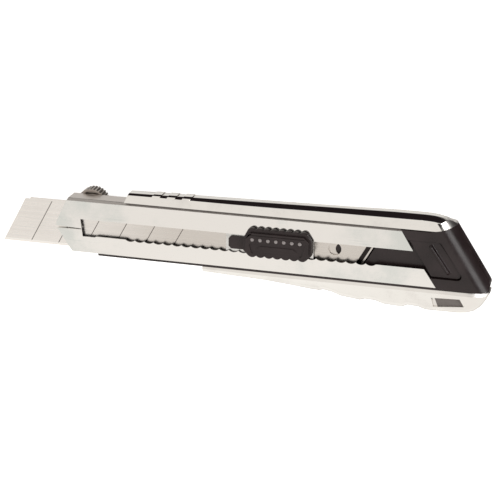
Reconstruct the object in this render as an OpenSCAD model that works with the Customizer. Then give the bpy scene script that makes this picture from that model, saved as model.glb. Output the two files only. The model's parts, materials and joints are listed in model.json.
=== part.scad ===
// Segment-blade cutting knife with a thumb slider, a knurled lock wheel and a blade magazine.
// It lies on its back: X runs from the nose to the end cap, Y rises to the spine,
// and Z points out of the face that carries the thumb slider. The back rests on Z = 0.

/* [Blade] */
// Width of the blade, from the cutting edge to its spine
blade_w = 25; // [24.6:0.1:25.2]
// Thickness of the blade
blade_t = 0.7; // [0.5:0.05:0.7]
// Distance between two score lines, measured along the knife
score_pitch = 15.1; // [14.6:0.1:15.4]
// Number of score lines
score_count = 6; // [4:1:7]
// Lean of the score lines and of both blade ends, in degrees
blade_lean = 29; // [25:1:32]
// Radius of the hole in the blade's tang
tang_hole_r = 3.25; // [3:0.05:3.4]

/* [Sleeve] */
// Height of the steel sleeve
sleeve_h = 28.8; // [28.6:0.1:29]
// Thickness of the sleeve's sheet
sheet_t = 1; // [0.8:0.1:1]
// Height of the face above the resting plane, at the edges of the slot
face_z = 18; // [18:0.1:18.3]
// Height of the slot that the slider runs in
slot_h = 8.8; // [8.4:0.1:9]
// Distance between two detent notches along the slot
notch_pitch = 5; // [4.8:0.1:5.1]
// Depth of a detent notch
notch_depth = 1; // [0.6:0.1:1.2]
// Number of detent notches
notch_count = 26; // [20:1:26]

/* [Lock wheel] */
// Radius of the lock wheel
wheel_r = 8; // [7.5:0.1:8.3]
// Thickness of the lock wheel
wheel_t = 6; // [5:0.5:6]
// Number of grooves in its rim
wheel_grooves = 28; // [16:1:32]

/* [Slider] */
// Length of the thumb pad
pad_len = 35; // [30:1:36]
// Height of the thumb pad above the face
pad_rise = 4.2; // [3.5:0.1:5]

/* [Handle] */
// Depth of the finger grip at its deepest, below the sleeve
grip_depth = 12.5; // [12:0.1:12.8]
// Height of the spine rail above the sleeve, at its highest
rail_rise = 8.1; // [7.6:0.1:8.2]

/* [Hidden] */
$fn = 48;

// The sleeve: its section in Y and Z, and its outline in X and Y
half_h = sleeve_h / 2;
sleeve_back_z = 7.5;
slot_top = 3.8;
slot_low = slot_top - slot_h;
upper_slope = 0.1;
lower_slope = 0.059;
nose_slope = 0.071;
edge_bevel = 1.3;
nose_x = -112;
nose_bend_x = -98.2;
liner_x = -89;
slot_end_x = -97.4;
notch_first_x = -70.9;
// Every slanted edge at the rear lies on a line x + rear_slant * y = constant
rear_slant = 0.65;
rear_angle = atan(rear_slant);
cap_line = 77.1;
seam_y = -15.6;

// Layers under the face, from the front to the back
carrier_z = face_z - 2;
carrier_t = 0.8;
blade_z = carrier_z - 0.8;
spare_1_z = blade_z - 0.75;
spare_2_z = spare_1_z - 0.75;
follower_t = 0.8;
follower_z = spare_2_z - 0.1 - follower_t;
liner_floor_z = 8.6;
liner_floor_t = 0.8;
tongue_low_z = liner_floor_z + liner_floor_t + 0.3;
tongue_top_z = spare_1_z + 0.65;

// The blade, placed by the hole in its tang
lean = tan(blade_lean);
hole_to_end = 14.2;
tang_len = 46.2;
blade_len = tang_len + score_count * score_pitch;
blade_hole_x = -12.8;
spare_1_x = 35.4;
spare_2_x = 38.9;
edge_h = 1.5;
score_w = 0.35;
score_depth = 0.2;

// The lock wheel
wheel_x = -95.3;
wheel_y = 9.2;
wheel_z = 1.2;
screw_r = 2.5;
clamp_pad_r = 4;
clamp_travel = 0.75;
clamp_pad_t = 1.8;
strap_w = 4.6;
strap_t = 0.8;

// The casting behind the sleeve
pocket_x = [-48, -14, 20, 46];
pocket_w = [24, 24, 24, 14];
pocket_top = 10.5;
pocket_low = -11;
web_z = 6.2;
cover_t = 1.2;
cover_x0 = -70;
cover_x1 = 60;
cover_y = 12;
cover_screw_x = [-66, 56];
cover_screw_y = 7;
rail_screw_x = [-48, -14, 20];
rail_screw_y = 16.3;
grip_screw_x = [-14, 20, 46];
side_screw_z = 3.7;

// The rail, the grip and the end cap
rail_front_z = 18.2;
rail_back_z = 0.3;
rail_x = -74;
grip_x = -31.5;
grip_front_z = 17.8;
grip_back_z = 0.4;
heel_x = 112.7;
cap_round_d = 81;
cap_rear_d = 88.8;
latch_z = 15.5;
latch_t = 1.2;
latch_travel = 1.1;
ridge_d = 73;

// A box from its lowest to its highest corner
module span(low, high) {
    translate(low) cube(high - low);
}

// A flat outline in X and Y, between two heights
module slab(points, z0, z1) {
    translate([0, 0, z0]) linear_extrude(z1 - z0) polygon(points);
}

// A section in Y and Z, run along X
module run_x(points, x0, x1) {
    translate([x0, 0, 0]) rotate([90, 0, 90]) linear_extrude(x1 - x0) polygon(points);
}

// A section in X and Z, run along Y
module run_y(points, y0, y1) {
    translate([0, y1, 0]) rotate([90, 0, 0]) linear_extrude(y1 - y0) polygon(points);
}

// A round pin along Z
module pin(x, y, z0, z1, r) {
    translate([x, y, z0]) cylinder(h = z1 - z0, r = r);
}

// A round pin along Y
module pin_y(x, y0, y1, z, r) {
    translate([x, y1, z]) rotate([90, 0, 0]) cylinder(h = y1 - y0, r = r);
}

// Points on an arc
function arc(cx, cy, rx, ry, a0, a1, steps = 8) =
    [for (i = [0:steps]) let (a = a0 + (a1 - a0) * i / steps) [cx + rx * cos(a), cy + ry * sin(a)]];

// The line x at which a slanted rear edge crosses a height y
function slant_x(line, y) = line - rear_slant * y;

// Everything behind a slanted rear line
module behind(line) {
    slab([[slant_x(line, -40), -40], [160, -40], [160, 40], [slant_x(line, 40), 40]], -1, 30);
}

// A thin bowed leaf spring, whose crown stands rise above its feet
module bow(x0, x1, y0, y1, z0, rise, t) {
    steps = 12;
    crown = [for (i = [0:steps])
        let (s = i / steps) [x0 + (x1 - x0) * s, z0 + t + (rise - t) * 4 * s * (1 - s)]];
    belly = [for (i = [steps:-1:0]) [crown[i][0], crown[i][1] - t]];
    run_y(concat(crown, belly), y0, y1);
}

// Section and side view of the sleeve, drawn in by a given wall
function sleeve_section(wall, low) = [
    [-half_h + wall, low],
    [-half_h + wall, face_z - lower_slope * (half_h + slot_low) - wall],
    [slot_low, face_z - wall],
    [slot_top, face_z - wall],
    [half_h - edge_bevel - wall * 0.4, face_z - upper_slope * (half_h - edge_bevel - slot_top) - wall],
    [half_h - wall, face_z - 2.1 - wall * 0.4],
    [half_h - wall, low]];

module sleeve_solid(wall, low) {
    intersection() {
        run_x(sleeve_section(wall, low), nose_x - 1, 100);
        run_y([[nose_x - 2, low - 1], [100, low - 1], [100, face_z - wall], [nose_bend_x, face_z - wall],
            [nose_x - 2, face_z - wall + nose_slope * (nose_x - 2 - nose_bend_x)]], -20, 20);
    }
}

// Outline of the sleeve: a pointed nose and a slanted rear end
sleeve_outline = concat(
    [[-104.9, half_h]],
    arc(-108.7, -0.3, 3.2, 3.2, 152, 214),
    [[-103.2, -half_h], [slant_x(cap_line, -half_h), -half_h], [slant_x(cap_line, half_h), half_h]]);

module notch_row() {
    notch_r = (notch_pitch * notch_pitch / 4 + notch_depth * notch_depth) / (2 * notch_depth);
    for (i = [0:notch_count - 1])
        pin(notch_first_x + i * notch_pitch, slot_low - notch_depth + notch_r,
            face_z - 2, face_z + 1, notch_r);
}

module sleeve() {
    color("gainsboro") difference() {
        intersection() {
            sleeve_solid(0, sleeve_back_z);
            slab(sleeve_outline, 0, face_z + 1);
        }
        sleeve_solid(sheet_t, sleeve_back_z + sheet_t);
        // the slot, with its step near the nose and its row of notches
        slab([[slot_end_x - 0.5, slot_top], [slot_end_x + 0.5, slot_low - 0.5],
            [liner_x - 1.2, slot_low - 0.5], [liner_x - 0.5, slot_low], [100, slot_low], [100, slot_top]],
            face_z - 1.9, face_z + 1);
        notch_row();
        // the tapered slit in the nose
        slab([[nose_x - 1, -1.1], [slot_end_x - 1, -1.1], [nose_x - 1, -3.4]], face_z - 3, face_z + 1);
        // the liner closes the sleeve below, behind the nose
        span([liner_x, -half_h - 1, sleeve_back_z + sheet_t], [100, -half_h + sheet_t + 0.1, face_z - 1.6]);
        pin(wheel_x, wheel_y, 0, sleeve_back_z + 2, screw_r + 0.4);
        sleeve_rivet_shanks();
        bracket_rivet_shank();
    }
}

module liner() {
    color("dimgray") difference() {
        union() {
            span([-84, -12.8, liner_floor_z], [100, 13.2, liner_floor_z + liner_floor_t]);
            span([liner_x, seam_y, liner_floor_z], [100, -12.8, face_z - 1.8]);
            span([liner_x, seam_y, face_z - 1.8], [100, -half_h - 0.05, face_z - 0.8]);
        }
        behind(cap_line);
        for (x = pocket_x)
            pin(x, 0, 0, liner_floor_z + 2, 2);
    }
}

// The guide's rear end leans with the blades; it carries the clamp pad in a round well
module nose_guide() {
    guide_top = blade_z - 0.1;
    color("dimgray") difference() {
        slab([[-104, 13.2], [-108.6, 4], [-108.6, -4], [-103.6, -11.8], [-102.4, -13.2],
            [-91.6 - lean * 13.2, -13.2], [-91.6 + lean * 13.2, 13.2]], liner_floor_z, guide_top);
        pin(wheel_x, wheel_y, 0, 20, clamp_pad_r + 0.4);
    }
}

module casting_outline(z0, z1) {
    slab([[-84, -9], [-77.5, seam_y], [slant_x(cap_line, seam_y), seam_y],
        [slant_x(cap_line, half_h), half_h], [-72, half_h], [-77, 10], [-84, 8]], z0, z1);
}

module frame_casting() {
    color("silver") difference() {
        casting_outline(0, sleeve_back_z);
        // lightened from the back, with ribs left between the pockets
        for (i = [0:len(pocket_x) - 1])
            span([pocket_x[i] - pocket_w[i] / 2, pocket_low, -1],
                [pocket_x[i] + pocket_w[i] / 2, pocket_top, web_z]);
        span([cover_x0 - 0.2, -cover_y - 0.2, -1], [cover_x1 + 0.2, cover_y + 0.2, cover_t]);
        // the strap of the wheel bracket lies in the front edge
        span([-90, wheel_y - strap_w / 2 - 0.1, -1], [-76.4, wheel_y + strap_w / 2 + 0.1, 0.2 + strap_t]);
        bracket_screw_shank();
        sleeve_rivet_shanks();
        cover_screw_shanks(0);
        for (x = rail_screw_x)
            pin_y(x, 5, 20, side_screw_z, 1.25);
        for (x = grip_screw_x)
            pin_y(x, -20, -5, side_screw_z, 1.25);
    }
}

rail_tilt = atan(0.0165);
rail_top = 20.15;

// Side outline of the rail: a slanted front, a long top, and a rear that drops to a point
rail_outline = concat(
    [[rail_x, half_h], [rail_x + 3, rail_top + 0.5]],
    [for (drop = [[66, 0], [77, 0], [83, 0.4], [86.4, 1], [89.2, 1.9], [92, 3.4], [94, 4.8]])
        [drop[0], half_h + rail_rise - drop[1]]],
    [[94.4, 17.75], [86.3, 15.15], [82, half_h]]);

// The rail is rounded at the front and draws in towards the back
module rail_section(grow) {
    top = rail_top + grow;
    front = rail_front_z + grow;
    run_x(concat(
        [[0, rail_back_z], [0, front]],
        arc(top - 3.4, front - 5, 3.4, 5, 90, 0),
        [[top, 12.4], [top - 3.1, 3.8], [top - 5, rail_back_z]]), -80, 130);
}

module rail_bar(grow) {
    pivot_x = rail_x + 2.8;
    translate([pivot_x, 0, 0]) rotate([0, 0, rail_tilt]) translate([-pivot_x, 0, 0])
        rail_section(grow);
}

module top_rail() {
    color("whitesmoke") difference() {
        union() {
            intersection() {
                slab(rail_outline, rail_back_z, rail_front_z);
                rail_bar(0);
            }
            // three slanted finger ridges
            for (i = [0:2])
                intersection() {
                    translate([-61 + 7.9 * i, 17, 0])
                        slab([[0, 0], [4, 0], [7, 4.5], [3, 4.5]], 5, rail_front_z + 1);
                    rail_bar(0.4);
                }
        }
        // a thin groove along the sleeve
        span([-80, half_h - 1, 15.5], [100, half_h + 0.3, 30]);
        // hollowed between the screw bosses
        for (x = [-65, -40, -6, 28])
            run_x([[10, 3], [10, 15.3], [17.2, 15.3], [17.2, 11.5], [15.3, 3.8], [15.3, 3]], x, x + 18);
        for (x = rail_screw_x)
            pin_y(x, 10, rail_screw_y, side_screw_z, 1.25);
    }
}

// Lower edge of the finger grip: three swells with a notch between them, then the heel
grip_outline = [
    [grip_x, seam_y], [grip_x - 1.1, -17.5], [grip_x, -19.3], [0, -20.9], [12, -22.1], [24, -23.5],
    [27.5, -23.5], [30, -23], [34, -23.7], [38.5, -25.4], [48.5, -26.7], [51, -25.8], [56.5, -26.1],
    [60.5, -27.5], [70, seam_y - grip_depth + 0.1], [72.5, -26.6], [78, -27], [81.5, seam_y - grip_depth],
    [97, seam_y - grip_depth], [102, -27.5], [105.5, -26.2], [108.5, -23.6], [111, -19.6], [heel_x, seam_y]];

module grip_body(z0, z1) {
    slab(grip_outline, z0, z1);
}

// The front and back lower edges are chamfered along the line of the finger swells
module grip_chamfer(front) {
    z = front ? grip_front_z : grip_back_z;
    drop = front ? -1 : 1;
    translate([grip_x, -17, 0]) rotate([0, 0, -6.2])
        run_x([[-9, z - drop], [8, z - drop], [8, z], [1.5, z + drop * 1.8], [-1.5, z + drop * 5.5],
            [-9, z + drop * 5.5]], -5, 160);
}

// Outline of the window in the heel, shrunk by a gap all round
function window_outline(gap) = [
    [85.6 + gap, -19.6 - gap], [98.4 - gap, -19.2 - gap],
    [100.6 - gap, -23.3 + gap], [87.5 + gap, -24.6 + gap]];

module lower_grip() {
    color("whitesmoke") difference() {
        grip_body(grip_back_z, grip_front_z);
        grip_chamfer(true);
        grip_chamfer(false);
        // the rear of the heel is rounded like the end cap
        difference() {
            span([80, -40, -1], [130, 0, 30]);
            cap_bullnose(-14);
        }
        slab(window_outline(0), grip_front_z - 3.4, grip_front_z + 1);
        for (x = [27, 52])
            span([x, -19.6, 2.4], [x + 12 + (x > 40 ? 18 : 0), 0, 14.6]);
        for (x = grip_screw_x)
            pin_y(x, -18, -10, side_screw_z, 1.25);
    }
}

module grip_inlay() {
    color("gray") slab(window_outline(0.15), grip_front_z - 3.4, grip_front_z - 2.2);
}

module back_cover() {
    color("dimgray") difference() {
        span([cover_x0, -cover_y, 0], [cover_x1, cover_y, cover_t]);
        cover_screw_shanks(0);
        for (x = cover_screw_x, y = [-cover_screw_y, cover_screw_y])
            pin(x, y, -1, 0.7, 2.2);
        // a shallow ribbed field for the palm
        for (i = [0:20])
            span([-44 + i * 4, -9, -1], [-42 + i * 4, 9, 0.3]);
    }
}

module cover_screw_shanks(head) {
    for (x = cover_screw_x, y = [-cover_screw_y, cover_screw_y]) {
        pin(x, y, 0.6, 5, 1.25);
        if (head > 0)
            pin(x, y, 0.1, 0.7, head);
    }
}

// Screws with a round head and a cross slot
module cover_screws() {
    color("darkgray") difference() {
        cover_screw_shanks(2.15);
        for (x = cover_screw_x, y = [-cover_screw_y, cover_screw_y]) {
            span([x - 1.4, y - 0.25, -1], [x + 1.4, y + 0.25, 0.4]);
            span([x - 0.25, y - 1.4, -1], [x + 0.25, y + 1.4, 0.4]);
        }
    }
}

module rail_screws() {
    color("darkgray") for (x = rail_screw_x) {
        pin_y(x, pocket_top, rail_screw_y, side_screw_z, 1.25);
        pin_y(x, pocket_top - 1.6, pocket_top, side_screw_z, 2.2);
    }
}

module grip_screws() {
    color("darkgray") for (x = grip_screw_x) {
        pin_y(x, -18, pocket_low, side_screw_z, 1.25);
        pin_y(x, pocket_low, pocket_low + 1.6, side_screw_z, 2.2);
    }
}

module sleeve_rivet_shanks() {
    for (x = pocket_x)
        pin(x, 0, web_z - 1, sleeve_back_z + sheet_t, 1.5);
}

module sleeve_rivets() {
    color("darkgray") for (x = pocket_x) {
        pin(x, 0, web_z, sleeve_back_z + sheet_t, 1.5);
        pin(x, 0, web_z - 0.9, web_z, 2.6);
    }
}

// Thumb pad outline, with a row of bumps along both long edges
pad_x0 = -10.2;
pad_y0 = -6.3;
pad_y1 = 8.4;
bump_count = 8;

module pad_edge(y) {
    pitch = (pad_len - 4.6) / bump_count;
    for (i = [0:bump_count - 1])
        pin(pad_x0 + 2.3 + pitch * (i + 0.5), y, face_z + 0.2, face_z + pad_rise - 0.9, pitch * 0.42);
}

module thumb_slider() {
    pad_x1 = pad_x0 + pad_len;
    color("black") difference() {
        union() {
            slab([[pad_x0, -3.4], [pad_x0 + 3, pad_y0 + 0.8],
                [pad_x1 - 3, pad_y0 + 0.8], [pad_x1, -3.2],
                [pad_x1, 4.4], [pad_x1 - 2.8, pad_y1 - 0.9], [pad_x0 + 2.4, pad_y1 - 0.9], [pad_x0, 3.2]],
                face_z + 0.2, face_z + pad_rise - 0.9);
            slab([[pad_x0 + 1.2, -3], [pad_x0 + 3.6, pad_y0 + 2],
                [pad_x1 - 3.6, pad_y0 + 2], [pad_x1 - 1.2, -2.8],
                [pad_x1 - 1.2, 4], [pad_x1 - 3.4, pad_y1 - 2.2],
                [pad_x0 + 3, pad_y1 - 2.2], [pad_x0 + 1.2, 2.8]],
                face_z + 0.2, face_z + pad_rise);
            pad_edge(pad_y1 - 1.2);
            pad_edge(pad_y0 + 1.2);
            // the stem in the slot and its tongue at the front
            span([pad_x0, -4.3, carrier_z + carrier_t], [pad_x1 - 3, 3.2, face_z + 0.3]);
            span([pad_x0 - 8.4, -4.1, carrier_z + carrier_t], [pad_x0 + 1, 2.4, face_z - 0.4]);
        }
        // a sunk field for the thumb, below the row of studs
        span([pad_x0 + 4, -4.4, face_z + pad_rise - 0.7], [pad_x1 - 5, 1.4, face_z + 9]);
        // room for the detent spring
        span([-7.2, -5, carrier_z], [17.2, -2.6, face_z + 0.1]);
        slider_rivet_shanks();
    }
}

module carrier_plate() {
    color("lightgray") difference() {
        span([-20.2, slot_low - 1.1, carrier_z], [25, slot_top + 1.1, carrier_z + carrier_t]);
        pin(blade_hole_x, 0, 0, 30, 2.2);
        slider_rivet_shanks();
    }
}

module blade_stud() {
    color("gray") {
        pin(blade_hole_x, 0, blade_z + 0.05, carrier_z, tang_hole_r - 0.05);
        pin(blade_hole_x, 0, carrier_z, carrier_z + carrier_t, 2.2);
    }
}

module slider_rivet_shanks() {
    for (x = [-4, 19])
        pin(x, 0.2, carrier_z, face_z + 1.6, 1.4);
}

module slider_rivets() {
    color("gray") slider_rivet_shanks();
}

// A leaf spring with a tooth that clicks past the notches
module detent_spring() {
    tooth_x = notch_first_x + 15 * notch_pitch;
    color("gray") slab([[-7, -2.6], [17, -2.6], [17, -3.05],
        [tooth_x + 1.4, -3.05], [tooth_x + 0.4, slot_low + 0.1],
        [tooth_x - 0.4, slot_low + 0.1], [tooth_x - 1.4, -3.05], [-7, -3.05]], face_z - 0.95, face_z);
}

// One segment blade, by its hole and its underside
module segment_blade(hole_x, z) {
    half = blade_w / 2;
    rear = hole_x + hole_to_end;
    front = rear - blade_len;
    mid = z + blade_t / 2;
    difference() {
        intersection() {
            slab([[front - lean * half, -half], [rear - lean * half, -half], [rear + lean * half, half],
                [front + lean * half + 2.4, half], [front + lean * half + 2.2, half - 0.9],
                [front + lean * (half - 0.9), half - 0.9]], z, z + blade_t);
            run_x([[-half, mid - 0.03], [-half + edge_h, z], [half, z], [half, z + blade_t],
                [-half + edge_h, z + blade_t], [-half, mid + 0.03]], front - 20, rear + 20);
        }
        for (i = [1:score_count])
            translate([front + i * score_pitch, 0, z + blade_t - score_depth]) rotate([0, 0, -blade_lean])
                translate([-score_w / 2, -(half - 1.2) / cos(blade_lean), 0])
                    cube([score_w, (2 * half - 2.4) / cos(blade_lean), 1]);
        pin(hole_x, 0, z - 1, z + 2, tang_hole_r);
    }
}

module blade() {
    color("lightsteelblue") segment_blade(blade_hole_x, blade_z);
}

module spare_blade_1() {
    color("lightsteelblue") segment_blade(spare_1_x, spare_1_z);
}

module spare_blade_2() {
    color("lightsteelblue") segment_blade(spare_2_x, spare_2_z);
}

module follower_plate() {
    color("black") difference() {
        span([-76, -10, follower_z], [44, 10, follower_z + follower_t]);
        for (x = [-52, 20])
            pin(x, 0, 0, 20, 3);
    }
}

module follower_spring() {
    color("gray") bow(-52, 22, -4, 4, liner_floor_z + liner_floor_t + 0.02,
        follower_z - liner_floor_z - liner_floor_t - 0.06, 0.4);
}

module lock_wheel() {
    top = wheel_z + wheel_t;
    color("gray") difference() {
        pin(wheel_x, wheel_y, wheel_z, top, wheel_r);
        for (i = [0:wheel_grooves - 1])
            translate([wheel_x, wheel_y, 0]) rotate([0, 0, i * 360 / wheel_grooves])
                pin(wheel_r + 0.3, 0, wheel_z - 1, top + 1, 0.62);
        // sunk on both faces inside a raised rim
        difference() {
            pin(wheel_x, wheel_y, top - 0.9, top + 1, wheel_r - 1.5);
            pin(wheel_x, wheel_y, 0, top + 1, 4.4);
        }
        difference() {
            pin(wheel_x, wheel_y, 0, wheel_z + 0.9, wheel_r - 1.5);
            pin(wheel_x, wheel_y, 0, top + 1, 4.4);
        }
        pin(wheel_x, wheel_y, 0, top + 1, screw_r + 0.05);
    }
}

// The screw does not turn: the pad on its end slides in the guide's well. Its foot stops clear of the
// strap when the clamp is fully open.
module clamp_screw() {
    foot = 0.2 + strap_t + clamp_travel + 0.15;
    color("silver") pin(wheel_x, wheel_y, foot, blade_z - 0.05 - clamp_pad_t + 0.9, screw_r);
}

module clamp_pad() {
    pad_top = blade_z - 0.05;
    color("goldenrod") difference() {
        pin(wheel_x, wheel_y, pad_top - clamp_pad_t, pad_top, clamp_pad_r);
        pin(wheel_x, wheel_y, 0, pad_top - clamp_pad_t + 0.9, screw_r);
    }
}

module wheel_washer() {
    color("silver") difference() {
        pin(wheel_x, wheel_y, wheel_z + wheel_t + 0.05, sleeve_back_z, 4.2);
        pin(wheel_x, wheel_y, 0, 20, screw_r + 0.4);
    }
}

module bracket_rivet_shank() {
    pin(-106.3, wheel_y, sleeve_back_z - strap_t, sleeve_back_z + sheet_t, 0.7);
}

module bracket_screw_shank() {
    pin(-80.5, wheel_y, 0.2, 5, 1.1);
}

module wheel_bracket() {
    y0 = wheel_y - strap_w / 2;
    y1 = wheel_y + strap_w / 2;
    color("silver") difference() {
        union() {
            span([-105.2, y0, 0.2], [-76.6, y1, 0.2 + strap_t]);
            span([-105.2, y0, 0.2], [-104.4, y1, sleeve_back_z]);
            span([-107.6, y0, sleeve_back_z - strap_t], [-104.4, y1, sleeve_back_z]);
        }
        bracket_rivet_shank();
        bracket_screw_shank();
    }
}

module bracket_rivet() {
    color("gray") {
        bracket_rivet_shank();
        pin(-106.3, wheel_y, sleeve_back_z - strap_t - 0.5, sleeve_back_z - strap_t, 1);
    }
}

module bracket_screw() {
    color("gray") {
        bracket_screw_shank();
        pin(-80.5, wheel_y, 0.02, 0.2, 1.9);
    }
}

// The round rear of the knife along its slanted edge; front_d is where the bar begins
module cap_bullnose(front_d) {
    mid_z = face_z / 2;
    rotate([0, 0, rear_angle]) rotate([90, 0, 0]) translate([0, 0, -80]) linear_extrude(160)
        polygon(concat([[front_d, 0]], arc(cap_round_d, mid_z, cap_rear_d - cap_round_d, mid_z, -90, 90, 16),
            [[front_d, face_z]]));
}

cap_low = -15;
cap_outline = concat(
    [[slant_x(cap_line + 0.3, cap_low), cap_low], [111.9, cap_low]],
    arc(108.3, -12.6, 4, 4, -20, 30, 4),
    [[94.6, 17.6], [86.3, 14.95], [82, half_h - 0.15],
        [slant_x(cap_line + 0.3, half_h - 0.15), half_h - 0.15]]);

// The sunk panel on the cap's face, open towards the sleeve
function panel_outline(gap) = [
    [slant_x(cap_line + 0.3, 9.2 - gap) + gap * 1.5, 9.2 - gap], [86.8 - gap, 9.2 - gap], [88.4 - gap, 7.9],
    [98.8 - gap, -6.1], [98.6 - gap, -8.2], [96.6 - gap, -9.4 + gap],
    [slant_x(cap_line + 0.3, -9.4 + gap) + gap * 1.5, -9.4 + gap]];

module end_cap() {
    color("black") difference() {
        union() {
            intersection() {
                slab(cap_outline, 0, face_z);
                cap_bullnose(0);
            }
            // the tongue that closes the magazine behind the spare blades
            difference() {
                slab([[53.9 - lean * 12.3, -12.3], [90, -12.3], [80, 12.3], [53.9 + lean * 12.3, 12.3]],
                    tongue_low_z, tongue_top_z);
                for (y = [-7, 7])
                    span([62, y - 3, 0], [74, y + 3, 12.4]);
            }
        }
        // hollow behind the casting
        difference() {
            slab([[slant_x(cap_line, -12), -12], [slant_x(102, -12), -12], [slant_x(102, 11), 11],
                [slant_x(cap_line, 11), 11]], 2, 7.4);
            for (y = [-6, 5])
                span([60, y - 0.8, 0], [120, y + 0.8, 20]);
        }
        slab(panel_outline(0), latch_z - latch_travel - 0.2, face_z + 1);
        pin(86.2, 0, latch_z - latch_travel - 1.6, face_z, 3.6);
    }
}

module latch_button() {
    color("black") {
        slab(panel_outline(0.35), latch_z, latch_z + latch_t);
        // the ridge that the thumb presses, with sloped sides
        ridge_z = latch_z + latch_t - 0.1;
        rotate([0, 0, rear_angle])
            run_y([[ridge_d - 1.9, ridge_z], [ridge_d + 1.9, ridge_z], [ridge_d + 0.7, face_z - 0.2],
                [ridge_d - 0.9, face_z - 0.2]], -55.8, -39.2);
    }
}

module latch_spring() {
    foot = latch_z - latch_travel - 1.55;
    color("gray") bow(83.4, 89, -1.5, 1.5, foot, latch_z - foot - 0.03, 0.25);
}

sleeve();
liner();
nose_guide();
frame_casting();
top_rail();
lower_grip();
grip_inlay();
back_cover();
cover_screws();
rail_screws();
grip_screws();
sleeve_rivets();
thumb_slider();
carrier_plate();
blade_stud();
slider_rivets();
detent_spring();
blade();
spare_blade_1();
spare_blade_2();
follower_plate();
follower_spring();
lock_wheel();
clamp_screw();
clamp_pad();
wheel_washer();
wheel_bracket();
bracket_rivet();
bracket_screw();
end_cap();
latch_button();
latch_spring();
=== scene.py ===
import json
import math

import bpy
from mathutils import Matrix, Vector


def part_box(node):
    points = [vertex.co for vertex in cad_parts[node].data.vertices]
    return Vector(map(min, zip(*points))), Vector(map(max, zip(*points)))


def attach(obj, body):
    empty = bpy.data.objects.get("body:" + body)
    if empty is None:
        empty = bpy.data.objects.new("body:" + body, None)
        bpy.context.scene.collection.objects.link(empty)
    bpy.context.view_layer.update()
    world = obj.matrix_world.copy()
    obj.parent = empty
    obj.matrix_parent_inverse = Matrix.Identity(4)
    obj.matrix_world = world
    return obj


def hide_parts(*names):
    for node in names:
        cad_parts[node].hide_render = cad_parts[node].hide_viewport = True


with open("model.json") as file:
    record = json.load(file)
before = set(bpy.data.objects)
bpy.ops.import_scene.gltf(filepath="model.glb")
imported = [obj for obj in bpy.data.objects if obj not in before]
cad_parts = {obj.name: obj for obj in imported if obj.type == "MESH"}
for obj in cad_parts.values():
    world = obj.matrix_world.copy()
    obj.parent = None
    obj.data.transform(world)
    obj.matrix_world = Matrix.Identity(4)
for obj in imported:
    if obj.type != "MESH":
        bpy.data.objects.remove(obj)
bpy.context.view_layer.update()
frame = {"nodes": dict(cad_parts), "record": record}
MM = 0.001


# ---------------------------------------------------------------- bench tools

def deselect():
    if bpy.context.mode != "OBJECT":
        bpy.ops.object.mode_set(mode="OBJECT")
    bpy.ops.object.select_all(action="DESELECT")


def pick(piece):
    deselect()
    piece.select_set(True)
    bpy.context.view_layer.objects.active = piece


def fresh(name):
    """The primitive just added, with its place moved into its mesh."""
    piece = bpy.context.object
    piece.name = name
    piece.data.name = name
    bpy.ops.object.transform_apply(location=True, rotation=True, scale=True)
    return piece


def block(name, low, high):
    deselect()
    low, high = Vector(low), Vector(high)
    bpy.ops.mesh.primitive_cube_add(size=1, location=(low + high) / 2 * MM)
    bpy.context.object.scale = (high - low) * MM
    return fresh(name)


def rod(name, centre, radius, height, sides=48):
    deselect()
    bpy.ops.mesh.primitive_cylinder_add(
        vertices=sides, radius=radius * MM, depth=height * MM, location=Vector(centre) * MM)
    return fresh(name)


def dome(name, centre, size):
    deselect()
    bpy.ops.mesh.primitive_uv_sphere_add(segments=24, ring_count=12, radius=MM, location=Vector(centre) * MM)
    bpy.context.object.scale = size
    return fresh(name)


def ring(points, name="ring", fill="NOTHING"):
    """A circle whose corners are set on the given points, in mm."""
    deselect()
    bpy.ops.mesh.primitive_circle_add(vertices=len(points), fill_type=fill)
    piece = fresh(name)
    for corner, point in zip(piece.data.vertices, points):
        corner.co = Vector(point) * MM
    return piece


def prism(name, outline, z0, z1):
    """A flat outline in X and Y raised from z0 to z1."""
    piece = ring([(x, y, z0) for x, y in outline], name, "NGON")
    bpy.ops.object.mode_set(mode="EDIT")
    bpy.ops.mesh.select_all(action="SELECT")
    bpy.ops.mesh.extrude_region_move(TRANSFORM_OT_translate={"value": (0, 0, (z1 - z0) * MM)})
    bpy.ops.mesh.select_all(action="SELECT")
    bpy.ops.mesh.normals_make_consistent(inside=False)
    bpy.ops.object.mode_set(mode="OBJECT")
    return piece


def loft(name, rings):
    """A skin stretched over rings of equally many points, closed at both ends."""
    loops = [ring(points, name) for points in rings]
    deselect()
    for loop in loops:
        loop.select_set(True)
    bpy.context.view_layer.objects.active = loops[0]
    bpy.ops.object.join()
    piece = bpy.context.object
    piece.name = name
    bpy.ops.object.mode_set(mode="EDIT")
    bpy.ops.mesh.select_all(action="SELECT")
    bpy.ops.mesh.bridge_edge_loops(type="SINGLE", use_merge=False)
    bpy.ops.mesh.select_all(action="DESELECT")
    bpy.ops.mesh.select_non_manifold(extend=False)
    bpy.ops.mesh.edge_face_add()
    bpy.ops.mesh.select_all(action="SELECT")
    bpy.ops.mesh.normals_make_consistent(inside=False)
    bpy.ops.object.mode_set(mode="OBJECT")
    return piece


def saw(piece, point, outward):
    """Cuts off all that lies on the outward side of a plane."""
    pick(piece)
    bpy.ops.object.mode_set(mode="EDIT")
    bpy.ops.mesh.select_all(action="SELECT")
    bpy.ops.mesh.bisect(
        plane_co=Vector(point) * MM, plane_no=Vector(outward).normalized(), use_fill=True, clear_outer=True)
    bpy.ops.object.mode_set(mode="OBJECT")


def combine(piece, tool, operation):
    pick(piece)
    step = piece.modifiers.new(operation, "BOOLEAN")
    step.operation = operation
    step.solver = "EXACT"
    step.object = tool
    bpy.ops.object.modifier_apply(modifier=step.name)
    bpy.data.objects.remove(tool)


def cut(piece, tool):
    combine(piece, tool, "DIFFERENCE")


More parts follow.
